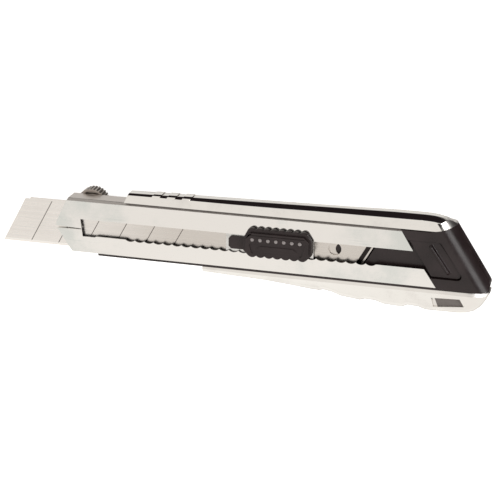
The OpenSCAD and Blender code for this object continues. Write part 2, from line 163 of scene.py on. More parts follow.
def weld(piece, tool):
    combine(piece, tool, "UNION")


def keep_inside(piece, tool):
    combine(piece, tool, "INTERSECT")


def copy_of(piece, name):
    pick(piece)
    bpy.ops.object.duplicate()
    twin = bpy.context.object
    twin.name = name
    return twin


def soften(piece, width, steps=2, angle=28):
    """Rounds the sharp edges and smooths the shading, with flat faces kept flat."""
    pick(piece)
    bpy.ops.object.mode_set(mode="EDIT")
    bpy.ops.mesh.select_all(action="SELECT")
    bpy.ops.mesh.remove_doubles(threshold=0.00001)
    bpy.ops.mesh.dissolve_limited(angle_limit=math.radians(0.3))
    bpy.ops.object.mode_set(mode="OBJECT")
    edge = piece.modifiers.new("edge", "BEVEL")
    edge.limit_method = "ANGLE"
    edge.angle_limit = math.radians(angle)
    edge.width = width * MM
    edge.segments = steps
    edge.miter_outer = "MITER_ARC"
    bpy.ops.object.modifier_apply(modifier=edge.name)
    polish(piece)


def polish(piece):
    pick(piece)
    bpy.ops.object.shade_smooth_by_angle(angle=math.radians(35))
    flat = piece.modifiers.new("flat", "WEIGHTED_NORMAL")
    flat.keep_sharp = True
    flat.weight = 80
    bpy.ops.object.modifier_apply(modifier=flat.name)


def arc(cx, cy, rx, ry, start, stop, steps=8):
    points = []
    for i in range(steps + 1):
        a = math.radians(start + (stop - start) * i / steps)
        points.append((cx + rx * math.cos(a), cy + ry * math.sin(a)))
    return points


def ease(x, start, stop):
    s = min(max((x - start) / (stop - start), 0.0), 1.0)
    return s * s * (3 - 2 * s)


def corners(node):
    """Lowest and highest corners of a CAD node, in mm."""
    low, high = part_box(node)
    return low / MM, high / MM


def place(piece, body, slot, look, *nodes):
    """Gives a finished piece its material and its body, and hides the CAD nodes it stands for."""
    piece.data.materials.clear()
    piece.data.materials.append(look)
    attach(piece, body)
    if nodes:
        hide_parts(*nodes)
    return piece


# ------------------------------------------------------------------ materials

# how far the blades' ends lean, and where their markings lie in mm
BLADE_LEAN = math.tan(math.radians(29))
BLADE_FRONT = -135.4
SCORE_PITCH = 15.1
SCORE_COUNT = 6
SPARE_REAR = 49.6


def new_group(name, scale, outputs):
    """An empty effect that takes a place and a scale, and gives the named values."""
    tree = bpy.data.node_groups.new(name, "ShaderNodeTree")
    tree.interface.new_socket("Vector", in_out="INPUT", socket_type="NodeSocketVector")
    size = tree.interface.new_socket("Scale", in_out="INPUT", socket_type="NodeSocketFloat")
    size.default_value = scale
    for label in outputs:
        tree.interface.new_socket(label, in_out="OUTPUT", socket_type="NodeSocketFloat")
    start = tree.nodes.new("NodeGroupInput")
    end = tree.nodes.new("NodeGroupOutput")
    return tree, start, end


def noise_in(tree, vector, scale, detail=4.0, rough=0.6):
    node = tree.nodes.new("ShaderNodeTexNoise")
    node.inputs["Detail"].default_value = detail
    node.inputs["Roughness"].default_value = rough
    tree.links.new(vector, node.inputs["Vector"])
    if isinstance(scale, float):
        node.inputs["Scale"].default_value = scale
    else:
        tree.links.new(scale, node.inputs["Scale"])
    return node.outputs["Fac"]


def stretch_in(tree, vector, factors):
    node = tree.nodes.new("ShaderNodeMapping")
    node.inputs["Scale"].default_value = factors
    tree.links.new(vector, node.inputs["Vector"])
    return node.outputs["Vector"]


def span_in(tree, value, low, high, new_low=0.0, new_high=1.0):
    node = tree.nodes.new("ShaderNodeMapRange")
    node.interpolation_type = "SMOOTHSTEP"
    tree.links.new(value, node.inputs["Value"])
    for label, number in (("From Min", low), ("From Max", high), ("To Min", new_low), ("To Max", new_high)):
        node.inputs[label].default_value = number
    return node.outputs["Result"]


def maths_in(tree, operation, a, b):
    node = tree.nodes.new("ShaderNodeMath")
    node.operation = operation
    for socket, value in zip(node.inputs, (a, b)):
        if isinstance(value, float):
            socket.default_value = value
        else:
            tree.links.new(value, socket)
    return node.outputs["Value"]


def smudge_and_reflection_group():
    """Smudges of handling and thin rubbed hairlines, both going from 0 to 1; where the smudges tint a
    metal's colour they are partly a painted reflection.
    """
    tree, start, end = new_group("smudge_and_reflection", 60.0, ["Smudge", "Hairline"])
    where, scale = start.outputs["Vector"], start.outputs["Scale"]
    cloud = noise_in(tree, where, scale, 5.0, 0.62)
    tree.links.new(span_in(tree, cloud, 0.42, 0.72), end.inputs["Smudge"])
    lines = noise_in(tree, stretch_in(tree, where, (1.2, 28.0, 28.0)), scale, 6.0, 0.7)
    tree.links.new(span_in(tree, lines, 0.56, 0.74), end.inputs["Hairline"])
    return tree


def brushing_group():
    """Long parallel grinding lines; Stroke varies across them."""
    tree, start, end = new_group("brushing", 400.0, ["Stroke", "Cloud"])
    where, scale = start.outputs["Vector"], start.outputs["Scale"]
    strokes = noise_in(tree, stretch_in(tree, where, (1.0, 0.02, 1.0)), scale, 5.0, 0.75)
    tree.links.new(strokes, end.inputs["Stroke"])
    tree.links.new(noise_in(tree, where, 45.0, 3.0, 0.5), end.inputs["Cloud"])
    return tree


def moulding_group():
    """The fine pitted skin of a moulded plastic, with wide soft variation."""
    tree, start, end = new_group("moulding", 2600.0, ["Grain", "Patch"])
    where, scale = start.outputs["Vector"], start.outputs["Scale"]
    tree.links.new(noise_in(tree, where, scale, 2.0, 0.5), end.inputs["Grain"])
    tree.links.new(noise_in(tree, where, 70.0, 4.0, 0.6), end.inputs["Patch"])
    return tree


GROUPS = {"smudge_and_reflection": smudge_and_reflection_group(), "brushing": brushing_group(), "moulding": moulding_group()}


class Look:
    """A Principled material whose nodes are added one by one."""

    def __init__(self, name, colour, metallic, roughness):
        self.material = bpy.data.materials.new(name)
        self.material.use_nodes = True
        self.tree = self.material.node_tree
        self.shader = self.tree.nodes["Principled BSDF"]
        self.shader.inputs["Base Color"].default_value = (*colour, 1)
        self.shader.inputs["Metallic"].default_value = metallic
        self.shader.inputs["Roughness"].default_value = roughness
        self.where = self.tree.nodes.new("ShaderNodeTexCoord").outputs["Object"]
        self.plain = self.where

    def turned(self, angle):
        node = self.tree.nodes.new("ShaderNodeMapping")
        node.inputs["Rotation"].default_value = (0, 0, math.radians(angle))
        self.tree.links.new(self.where, node.inputs["Vector"])
        self.where = node.outputs["Vector"]

    def effect(self, name, scale):
        node = self.tree.nodes.new("ShaderNodeGroup")
        node.node_tree = GROUPS[name]
        node.inputs["Scale"].default_value = scale
        self.tree.links.new(self.where, node.inputs["Vector"])
        return node.outputs

    def roughness(self, value, low, high, new_low, new_high):
        rough = span_in(self.tree, value, low, high, new_low, new_high)
        self.tree.links.new(rough, self.shader.inputs["Roughness"])

    def colour(self, value, low, high, dark, light):
        mix = self.tree.nodes.new("ShaderNodeMix")
        mix.data_type = "RGBA"
        mix.inputs["A"].default_value = (*dark, 1)
        mix.inputs["B"].default_value = (*light, 1)
        self.tree.links.new(span_in(self.tree, value, low, high), mix.inputs["Factor"])
        self.tree.links.new(mix.outputs["Result"], self.shader.inputs["Base Color"])

    def bump(self, value, depth, strength=1.0):
        node = self.tree.nodes.new("ShaderNodeBump")
        node.inputs["Strength"].default_value = strength
        node.inputs["Distance"].default_value = depth * MM
        self.tree.links.new(value, node.inputs["Height"])
        self.tree.links.new(node.outputs["Normal"], self.shader.inputs["Normal"])

    def along(self, x, y, z):
        """Distance along a direction, in mm."""
        node = self.tree.nodes.new("ShaderNodeVectorMath")
        node.operation = "DOT_PRODUCT"
        self.tree.links.new(self.plain, node.inputs[0])
        node.inputs[1].default_value = (x / MM, y / MM, z / MM)
        return node.outputs["Value"]

    def times(self, a, b):
        return maths_in(self.tree, "MULTIPLY", a, b)

    def between(self, value, low, high, blur=0.04):
        """1 between two limits and 0 outside them."""
        rise = span_in(self.tree, value, low - blur, low + blur)
        fall = span_in(self.tree, value, high + blur, high - blur)
        return self.times(rise, fall)

    def overlay(self, mask, colour, rough=None):
        """Lays another colour, and another roughness, over what is already there."""
        mix = self.tree.nodes.new("ShaderNodeMix")
        mix.data_type = "RGBA"
        base = self.shader.inputs["Base Color"]
        self.tree.links.new(base.links[0].from_socket, mix.inputs["A"])
        mix.inputs["B"].default_value = (*colour, 1)
        self.tree.links.new(mask, mix.inputs["Factor"])
        self.tree.links.new(mix.outputs["Result"], base)
        if rough is not None:
            blend = self.tree.nodes.new("ShaderNodeMix")
            socket = self.shader.inputs["Roughness"]
            self.tree.links.new(socket.links[0].from_socket, blend.inputs["A"])
            blend.inputs["B"].default_value = rough
            self.tree.links.new(mask, blend.inputs["Factor"])
            self.tree.links.new(blend.outputs["Result"], socket)

    def mixed(self, a, b, share):
        return maths_in(self.tree, "ADD", a, self.times(b, share))


def bright_metal(name, dark, light, smooth, dull, depth, scale):
    """Polished metal: clear reflections, dulled and tinted darker where it is handled, with fine hairlines;
    the darker tint is partly a painted reflection.
    """
    look = Look(name, light, 1.0, smooth)
    marks = look.effect("smudge_and_reflection", scale)
    both = look.mixed(marks["Smudge"], marks["Hairline"], 0.35)
    look.roughness(both, 0.0, 1.4, smooth, dull)
    # painted reflection, in part: a darker tint in the smudges, green-grey on the sleeve
    look.colour(both, 0.0, 1.35, light, dark)
    look.bump(marks["Hairline"], depth, 0.25)
    return look


def sleeve_steel():
    """Polished on the face, satin on the flange; painted reflection tones on the face's clouds, the flange
    and the bevel; painted shade inside and where the flange lies under the rail.
    """
    # the dark green-grey of the handling clouds is a painted reflection of green-grey patches around the
    # knife
    look = bright_metal(
        "polished_steel", (0.70, 0.725, 0.70), (0.90, 0.875, 0.845), 0.05, 0.12, 0.006, 24.0)
    along_x, along_y, along_z = look.along(1, 0, 0), look.along(0, 1, 0), look.along(0, 0, 1)
    flange = look.between(along_y, 14.34, 20.0, 0.03)
    # painted reflection tone: the flange browner and darker, with a satin roughness
    look.overlay(flange, (0.6, 0.555, 0.52), 0.3)
    # painted shade: the flange nearly black where it lies under the rail
    look.overlay(look.times(flange, look.between(along_x, -71.5, 120.0)), (0.05, 0.045, 0.045))
    # painted reflection tone on the bevel along the face's upper edge
    look.overlay(look.between(along_y, 13.2, 14.3), (0.72, 0.68, 0.64), 0.42)
    # painted shade: dark inside the sleeve, seen through the slot
    inside = look.times(look.between(along_y, -6.4, 4.1), look.between(along_z, 7.7, 17.84, 0.02))
    look.overlay(look.times(inside, look.between(along_x, -98.4, 120.0)), (0.05, 0.042, 0.04))
    return look.material


def slider_plastic():
    """Black plastic, with a painted highlight on its studs: lighter and glossier there."""
    look = moulded("slider_plastic", (0.016, 0.009, 0.009), (0.034, 0.022, 0.022), 0.34, 0.5, 0.02)
    # painted highlight: the studs lighter and glossier than the rest
    studs = look.between(look.along(0, 0, 1), 21.98, 24.0, 0.06)
    look.overlay(studs, (0.3, 0.27, 0.265), 0.2)
    return look.material


def plated():
    """Chrome plate, with painted shade on the narrow faces that look at the sleeve, and duller at the rear.
    """
    look = bright_metal("chrome_plate", (0.78, 0.75, 0.72), (0.86, 0.835, 0.8), 0.04, 0.1, 0.004, 60.0)
    along_y = look.along(0, 1, 0)
    # painted shade: the rail's narrow lower face, at its gap with the sleeve
    look.overlay(look.between(along_y, 14.3, 14.85), (0.1, 0.09, 0.09))
    # painted shade: the grip's narrow face along its seam with the sleeve
    look.overlay(look.between(along_y, -15.72, -15.4), (0.2, 0.18, 0.17))
    look.overlay(look.between(look.along(1, 0, 0), 88.0, 130.0, 4.0), (0.84, 0.81, 0.775), 0.36)
    return look.material


def blade_metal():
    """Ground blade steel with a brighter ground edge, painted shade growing towards its rear, and score
    lines darkened with painted shade.
    """
    look = ground_metal(
        "blade_steel", (0.8, 0.765, 0.73), (0.9, 0.865, 0.83), 0.22, 0.34, 0.003, 90.0, 700.0)
    # painted shade: the blade grows darker towards its rear
    painted_rear_shade = span_in(look.tree, look.along(1, 0, 0), -105, -40)
    look.overlay(look.times(painted_rear_shade, 0.75), (0.63, 0.585, 0.54))
    # score lines on the blade in use, counted in pitches from its front end: real scored lines, darkened
    # with painted shade in their grooves
    first = BLADE_FRONT / SCORE_PITCH
    slanted = look.times(look.along(1, -BLADE_LEAN, 0), 1 / SCORE_PITCH)
    near = maths_in(look.tree, "PINGPONG", maths_in(look.tree, "SUBTRACT", slanted, first), 0.5)
    line = span_in(look.tree, near, 0.017, 0.011)
    line = look.times(line, look.between(slanted, first + 0.5, first + SCORE_COUNT + 0.5))
    line = look.times(line, look.between(look.along(0, 0, 1), 15.5, 16.5))
    line = look.times(line, look.between(look.along(0, 1, 0), -11.3, 11.3))
    look.overlay(line, (0.14, 0.12, 0.11))
    look.overlay(look.between(look.along(0, 1, 0), -13.0, -11.0), (0.9, 0.86, 0.82), 0.16)
    # the step behind the upper spare blade lies in shadow
    step = look.between(look.along(1, -BLADE_LEAN, 0), SPARE_REAR, SPARE_REAR + 2.6, 0.15)
    step = look.times(step, look.between(look.along(0, 0, 1), 13.0, 14.9))
    look.overlay(step, (0.03, 0.025, 0.024))
    return look.material


def ground_metal(name, dark, light, smooth, dull, depth, turn=0.0, scale=500.0):
    """Ground or brushed metal with parallel strokes."""
    look = Look(name, light, 1.0, dull)
    look.turned(turn)
    strokes = look.effect("brushing", scale)
    look.colour(look.mixed(strokes["Stroke"], strokes["Cloud"], 0.5), 0.4, 1.1, dark, light)
    look.roughness(strokes["Stroke"], 0.3, 0.7, dull, smooth)
    look.bump(strokes["Stroke"], depth, 0.5)
    return look


def moulded(name, dark, light, smooth, dull, depth, scale=2600.0):
    """Moulded plastic with a fine skin and wide soft variation in its gloss."""
    look = Look(name, light, 0.0, dull)
    skin = look.effect("moulding", scale)
    look.colour(look.mixed(skin["Patch"], skin["Grain"], 0.4), 0.4, 1.0, dark, light)
    look.roughness(skin["Patch"], 0.3, 0.7, smooth, dull)
    look.bump(skin["Grain"], depth, 0.6)
    look.shader.inputs["Specular IOR Level"].default_value = 0.38
    return look


METALS = {
    "cast_alloy": ((0.4, 0.4, 0.4), (0.6, 0.6, 0.6), 0.35, 0.5, 0.02, 0.0, 900.0),
    "bright_steel": ((0.6, 0.59, 0.57), (0.8, 0.79, 0.77), 0.2, 0.32, 0.004, 90.0),
    "wheel_steel": ((0.3, 0.27, 0.25), (0.6, 0.55, 0.51), 0.22, 0.38, 0.01, 90.0),
    "screw_steel": ((0.38, 0.38, 0.39), (0.58, 0.58, 0.59), 0.25, 0.4, 0.006),
    "spring_steel": ((0.25, 0.25, 0.28), (0.42, 0.42, 0.45), 0.25, 0.4, 0.004, 90.0),
    "pad_brass": ((0.55, 0.4, 0.18), (0.75, 0.58, 0.3), 0.2, 0.35, 0.006),
}
PLASTICS = {
    "black_plastic": ((0.02, 0.013, 0.013), (0.038, 0.027, 0.027), 0.42, 0.58, 0.02),
    "cap_plastic": ((0.014, 0.0085, 0.0085), (0.03, 0.0195, 0.02), 0.27, 0.38, 0.006),
    "grey_plastic": ((0.13, 0.115, 0.105), (0.18, 0.16, 0.15), 0.45, 0.6, 0.02),
}
LOOKS = {name: ground_metal(name, *numbers).material for name, numbers in METALS.items()}
LOOKS |= {name: moulded(name, *numbers).material for name, numbers in PLASTICS.items()}
LOOKS |= {
    "polished_steel": sleeve_steel(),
    "chrome_plate": plated(),
    "blade_steel": blade_metal(),
    "slider_plastic": slider_plastic(),
}


# ------------------------------------------------------- the knife's own lines

SLEEVE_LOW, SLEEVE_HIGH = corners("sleeve")
FACE = SLEEVE_HIGH.z
HALF = SLEEVE_HIGH.y
SLOT_TOP = 3.8
SLOT_LOW = SLOT_TOP - 8.8
NOSE_BEND = -98.2
LINER_X = corners("liner")[0].x
SEAM = corners("liner")[0].y
NOTCH_PITCH = 5.0
NOTCH_DEPTH = 1.0
NOTCH_COUNT = 26
NOTCH_FIRST = -70.9
SLANT = 0.65
CAP_LINE = 77.1
CAP_ROUND = 81.0
CAP_REAR = 88.8
SLANT_ANGLE = math.atan(SLANT)


def slant_x(line, y):
    return line - SLANT * y


def sleeve_block(name, wall, low):
    """The faceted sleeve as a solid, drawn in by a wall thickness."""
    side = HALF - wall
    top = FACE - wall
    piece = block(name, (SLEEVE_LOW.x - 1, -side, low), (100, side, top))
    saw(piece, (0, SLOT_TOP, top), (0, 0.1, 1))
    saw(piece, (0, SLOT_LOW, top), (0, -0.059, 1))
    saw(piece, (NOSE_BEND, 0, top), (-0.071, 0, 1))
    saw(piece, (0, side - 1.3 + wall * 0.5, top - 0.93), (0, 1.1, 1.3))
    return piece


def notched_slot():
    """The slot as a tool: a step near the nose, then a row of notches along its lower edge."""
    radius = (NOTCH_PITCH ** 2 / 4 + NOTCH_DEPTH ** 2) / (2 * NOTCH_DEPTH)
    reach = math.degrees(math.asin(NOTCH_PITCH / 2 / radius))
    outline = [(-97.9, SLOT_TOP), (-96.9, SLOT_LOW - 0.5),
               (LINER_X - 1.2, SLOT_LOW - 0.5), (LINER_X - 0.5, SLOT_LOW)]
    for i in range(NOTCH_COUNT):
        centre = NOTCH_FIRST + i * NOTCH_PITCH
        low = SLOT_LOW - NOTCH_DEPTH + radius
        outline += arc(centre, low, radius, radius, 270 - reach, 270 + reach, 8)[:-1]
    outline += [(NOTCH_FIRST + (NOTCH_COUNT - 0.5) * NOTCH_PITCH, SLOT_LOW)]
    outline += [(120, SLOT_LOW), (120, SLOT_TOP)]
    return prism("slot_tool", outline, FACE - 2.4, FACE + 2)


def make_sleeve():
    piece = sleeve_block("sleeve_shell", 0.0, SLEEVE_LOW.z)
    # the pointed nose, then the slanted rear end
    saw(piece, (-104.9, HALF, 0), (-13.2, 6.6, 0))
    saw(piece, (-103.2, -HALF, 0), (-12.3, -8.2, 0))
    saw(piece, (SLEEVE_LOW.x + 0.2, 0, 0), (-1, 0, 0))
    saw(piece, (CAP_LINE, 0, 0), (1, SLANT, 0))
    cut(piece, sleeve_block("hollow", 1.0, SLEEVE_LOW.z + 1))
    cut(piece, notched_slot())
    slit = [(-114, -1.0), (-97.5, -1.3), (-97.5, -1.65), (-114, -2.6)]
    cut(piece, prism("slit", slit, FACE - 3, FACE + 1))
    cut(piece, block("below", (LINER_X, -HALF - 1, SLEEVE_LOW.z + 1), (120, -HALF + 1.1, FACE - 1.6)))
    screw_low, screw_high = corners("clamp_screw")
    middle = (screw_low + screw_high) / 2
    cut(piece, rod("bore", (middle.x, middle.y, SLEEVE_LOW.z), 2.9, 4))
    soften(piece, 0.16, 2)
    return place(piece, "frame", "polished_steel", LOOKS["polished_steel"], "sleeve")


def bullnose(name, half_depth=9.0, middle=9.0, rear=CAP_REAR):
    """A long bar whose rear is a half round, along the slanted line of the cap."""
    reach = CAP_REAR - CAP_ROUND
    profile = [(-120.0, -half_depth)]
    profile += arc(rear - reach, 0, reach, half_depth, -90, 90, 24)
    profile += [(-120.0, half_depth)]
    piece = prism(name, profile, -90, 90)
    turn = Matrix.Rotation(SLANT_ANGLE, 4, "Z") @ Matrix.Rotation(math.radians(90), 4, "X")
    piece.data.transform(Matrix.Translation((0, 0, middle * MM)) @ turn)
    return piece


# The rail along the spine

RAIL_LOW, RAIL_HIGH = corners("top_rail")
RAIL_BEND = 76.0
RAIL_TIP = 94.9
RAIL_START = HALF + 0.35


def rail_drop(x):
    """How far the rail's top falls away towards its rear end."""
    s = max((x - RAIL_BEND) / 18.6, 0.0)
    return 0.7 * s * s + 3.9 * s ** 4


def rail_ring(x, grow=0.0):
    """The rail's section at x: a flat front, a round upper edge, and a top that draws in to the back."""
    top = min(20.1 + (x + 71) * 0.0165, 22.35) - rail_drop(x) + grow
    rise = max((x - 84) / (RAIL_TIP - 84), 0) ** 0.3
    low = RAIL_START + 2.5 * ease(x, 84, RAIL_TIP) ** 0.8 * rise
    front = RAIL_HIGH.z + grow - 0.02
    across = min(1.9 + 1.9 * ease(x, -80, 25) + 0.9 * ease(x, 20, 72), (top - low) * 0.8)
    deep = across * 1.5
    back = top - 0.37 * 8.4
    section = [(low, 0.6), (low, front - 0.5), (low + 0.4, front)]
    section += arc(top - across, front - deep, across, deep, 90, 0, 12)
    section += [(top - 0.02, 12.4), (back, 4.0)]
    section += arc(back - 2.6, 3.8, 2.6, 3.4, 0, -90, 6)[1:]
    if top - low < 5.8:
        # the thin rear end: nothing may fall below its lower edge
        section = [(max(y, low + 0.02 * i), z) for i, (y, z) in enumerate(section)]
    return [(x, y, z) for y, z in section]


def rail_skin(name, grow, start, stop, count):
    places = [start + (stop - start) * i / (count - 1) for i in range(count)]
    return loft(name, [rail_ring(x, grow) for x in places])


def make_rail():
    straight = [RAIL_LOW.x - 1 + 20 * i for i in range(8)]
    curved = [RAIL_BEND + (RAIL_TIP - 0.1 - RAIL_BEND) * i / 14 for i in range(15)]
    piece = loft("spine_rail", [rail_ring(x) for x in straight + curved])
    # three slanted ridges for the finger
    for i in range(3):
        ridge = rail_skin("ridge", 0.42, -66 + 7.9 * i, -48 + 7.9 * i, 2)
        start = -60.4 + 7.9 * i
        saw(ridge, (start, 17, 0), (-4.5, 3.0, 0))
        saw(ridge, (start + 4.2, 17, 0), (4.5, -3.0, 0))
        saw(ridge, (0, 16.6, 0), (0, -1, 0))
        saw(ridge, (0, 0, 5.5), (0, 0, -1))
        weld(piece, ridge)
    saw(piece, (RAIL_LOW.x, HALF, 0), (-6.2, 3.0, 0))
    keep_inside(piece, bullnose("rail_end", 8.95, 9.2, CAP_REAR + 0.1))
    soften(piece, 0.12, 2, 22)
    return place(piece, "frame", "chrome_plate", LOOKS["chrome_plate"], "top_rail")


# The finger grip

GRIP_LOW, GRIP_HIGH = corners("lower_grip")
# its lower edge, as x and the distance below the middle of the sleeve
EDGE = [(-40, 18.6), (-31.5, 19.3), (0, 20.8), (12, 22.0), (24, 23.4), (27.5, 23.5), (30, 22.9),
        (34, 23.6), (38.5, 25.3), (48.5, 26.6), (51, 25.7), (56.5, 26.0), (60.5, 27.4), (70, 27.9),
        (72.5, 26.5), (78, 26.9), (81.5, 28.1), (97, 28.1), (102, 27.5), (105.5, 26.2), (108.5, 23.6),
        (111, 19.6), (112.7, 15.7)]


def grip_bottom(x):
    for (x0, y0), (x1, y1) in zip(EDGE, EDGE[1:]):
        if x <= x1:
            return -(y0 + (y1 - y0) * (x - x0) / (x1 - x0))
    return -EDGE[-1][1]


def grip_ring(x):
    """The grip's section at x: a crease below the seam, then a round lower edge on both sides."""
    low = grip_bottom(x)
    height = max(SEAM - low, 0.3)
    half = (GRIP_HIGH.z - GRIP_LOW.z) / 2
    middle = (GRIP_HIGH.z + GRIP_LOW.z) / 2
    if x > 100:
        s = min((x - 100) / (GRIP_HIGH.x + 0.02 - 100), 1.0)
        half *= math.sqrt(max(1 - 0.85 * s ** 2.4, 0.0004))
    front, back = middle + half, middle - half
    crease = min(1.6, height * 0.3)
    lean = min(height * 0.12, 1.5) * half / 8.7
    round_y = min(3.6, (height - crease) * 0.62)
    round_z = min(4.6, half * 0.55)
    section = [(SEAM, back + 0.6), (SEAM, front - 0.6), (SEAM - crease, front)]
    section += arc(low + round_y, front - lean - round_z, round_y, round_z, 90, 180, 10)
    section += arc(low + round_y, back + lean + round_z, round_y, round_z, 180, 270, 10)
    section += [(SEAM - crease, back)]
    return [(x, y, z) for y, z in section]


def grip_stations():
    marks = {GRIP_LOW.x, GRIP_LOW.x + 0.4, GRIP_LOW.x + 1.1, -15.0, 6.0, 18.0}
    marks |= {x for x, _ in EDGE[2:-1]}
    marks |= {26, 29, 49.5, 50.4, 58, 71, 72, 79.5, 90, 94, 99.5, 104, 107, 110, 112}
    return sorted(marks | {GRIP_HIGH.x - 0.02})


def make_grip():
    piece = loft("finger_grip", [grip_ring(x) for x in grip_stations()])
    # the window in the heel, with a ramp on its left
    window = prism("window", [(84.4, -19.8), (98.4, -19.2), (100.6, -23.3), (85.6, -24.8)], 15.2, 20)
    saw(window, (84.9, 0, 17.2), (-1, 0.1, -1.1))
    cut(piece, window)
    soften(piece, 0.15, 2, 24)
    return place(piece, "frame", "chrome_plate", LOOKS["chrome_plate"], "lower_grip")


# The end cap and its latch panel

CAP_LOW, CAP_HIGH = corners("end_cap")
PANEL_LOW, PANEL_HIGH = corners("latch_button")
CAP_FRONT = CAP_LINE + 0.3


def panel_outline(gap, front_gap):
    """The latch panel from above, drawn in by a gap all round and another at its front."""
    return ([(slant_x(CAP_FRONT, 9.2 - gap) + front_gap, 9.2 - gap)]
            + arc(86.8 - gap, 7.5 - gap, 1.7, 1.7, 90, 33, 4)
            + arc(96.7 - gap, -7.4 + gap, 2.0, 2.0, 33, -90, 8)
            + [(slant_x(CAP_FRONT, -9.4 + gap) + front_gap, -9.4 + gap)])


def make_cap():
    outline = [(slant_x(CAP_FRONT, -15), -15), (107.6, -15)]
    outline += arc(108.3, -12.4, 4.05, 4.05, -38, 32, 10)
    outline += [(94.6, 17.55), (91, 16.35), (88, 15.4), (86, 14.95), (82, HALF - 0.15),
                (slant_x(CAP_FRONT, HALF - 0.15), HALF - 0.15)]
    piece = prism("rear_cap", outline, CAP_LOW.z, CAP_HIGH.z)
    keep_inside(piece, bullnose("cap_end", (CAP_HIGH.z - CAP_LOW.z) / 2))
    cut(piece, prism("sunk", panel_outline(0.0, -3.0), PANEL_LOW.z - 1.75, FACE + 2))
    cut(piece, rod("spring_pocket", (86.2, 0, PANEL_LOW.z - 1.2), 3.6, 4))
    tongue = prism("tongue", [(47.1, -12.3), (90, -12.3), (80, 12.3), (60.7, 12.3)], 9.7, 15.1)
    weld(piece, tongue)
    soften(piece, 0.35, 3, 24)
    return place(piece, "cap", "cap_plastic", LOOKS["cap_plastic"], "end_cap")


def make_latch():
    top = PANEL_LOW.z + 1.2
    piece = prism("latch_panel", panel_outline(0.35, 0.6), PANEL_LOW.z, top)
    start, stop = Vector((82.5, 7.3, 0)), Vector((92.6, -6.9, 0))
    along = (stop - start).normalized()
    across = Vector((-along.y, along.x, 0))
    half_w = across * 1.7
    foot = [start - half_w, stop - half_w, stop + half_w, start + half_w]
    ridge = prism("ridge", [(p.x, p.y) for p in foot], top - 0.3, PANEL_HIGH.z + 0.15)
    # sloped sides and ends
    level = Vector((0, 0, top))
    saw(ridge, start + across * 1.2 + level, across * 1.5 + Vector((0, 0, 0.9)))
    saw(ridge, start - across * 1.0 + level, -across * 1.5 + Vector((0, 0, 0.7)))
    saw(ridge, start + level, -along + Vector((0, 0, 0.9)))
    saw(ridge, stop + level, along + Vector((0, 0, 0.9)))
    weld(piece, ridge)
    soften(piece, 0.28, 3, 24)
    return place(piece, "latch", "cap_plastic", LOOKS["cap_plastic"], "latch_button")


# The thumb pad

PAD_LOW, PAD_HIGH = corners("thumb_slider")
PAD_X0 = PAD_LOW.x + 8.4
PAD_X1 = PAD_HIGH.x


def pad_outline(inset, bumps):
    """The pad from above: cut corners, and a row of bumps along both long sides."""
    low, high = PAD_LOW.y + 1.0 + inset, PAD_HIGH.y - 0.95 - inset
    x0, x1 = PAD_X0 + inset, PAD_X1 - inset
    points = [(x0, -3.3), (x0 + 2.4, low)]
    span = (x1 - 2.6) - (x0 + 2.4)

    def row(y, side, count):
        made = []
        steps = 8 * count
        for i in range(steps + 1):
            s = i / steps
            lift = abs(math.sin(math.pi * count * s)) ** 0.8 * bumps
            made.append((x0 + 2.4 + span * s, y + side * lift))
        return made

    points += row(low, -1, 7)
    points += [(x1, -3.0), (x1, 4.2)]
    points += reversed(row(high, 1, 8))
    points += [(x0, 3.2)]
    return points


def make_thumb_pad():
    base = FACE + 0.2
    top = PAD_HIGH.z - 0.4
    piece = prism("thumb_pad", pad_outline(0.0, 0.95), base, top - 1.2)
    weld(piece, prism("crown", pad_outline(1.3, 0.0), top - 1.5, top))
    weld(piece, block("stem", (PAD_X0 + 0.3, -4.3, base - 1.4), (PAD_X1 - 3, 3.2, base + 0.4)))
    tongue = block("tongue", (PAD_LOW.x, -4.1, base - 1.4), (PAD_X0 + 2, 2.6, base - 0.35))
    saw(tongue, (PAD_LOW.x, 2.6 - 1.3, 0), (-1, 1, 0))
    saw(tongue, (PAD_LOW.x, -4.1 + 1.3, 0), (-1, -1, 0))
    weld(piece, tongue)
    field = [(PAD_X0 + 3.2, 0.6), (PAD_X0 + 4.2, -3.4), (PAD_X0 + 5.4, -4.4), (PAD_X1 - 6.4, -4.6),
             (PAD_X1 - 4.8, -3.6), (PAD_X1 - 3.8, 0.6), (PAD_X1 - 4.6, 1.2), (PAD_X0 + 4.0, 1.2)]
    cut(piece, prism("thumb_field", field, top - 0.65, top + 2))
    # a plain lozenge in relief in the sunk field
    lozenge = [(PAD_X0 + 7, -1.6), (PAD_X0 + 9, -3), (PAD_X1 - 9.4, -3), (PAD_X1 - 7.4, -1.6),
               (PAD_X1 - 9.4, -0.2), (PAD_X0 + 9, -0.2)]
    badge = prism("badge", lozenge, top - 1.2, top - 0.3)
    weld(piece, badge)
    cut(piece, block("groove", (PAD_X0 + 3.0, 5.2, top - 0.35), (PAD_X1 - 3.4, 5.55, top + 1)))
    soften(piece, 0.22, 3, 26)
    studs = [dome("stud", (PAD_X0 + 4.9 + i * 4.05, 3.1, top - 0.05), (1.0, 1.0, 0.6)) for i in range(7)]
    deselect()
    for stud in studs:
        stud.select_set(True)
    piece.select_set(True)
    bpy.context.view_layer.objects.active = piece
    bpy.ops.object.join()
    polish(piece)
    return place(piece, "carriage", "slider_plastic", LOOKS["slider_plastic"], "thumb_slider")


# The lock wheel

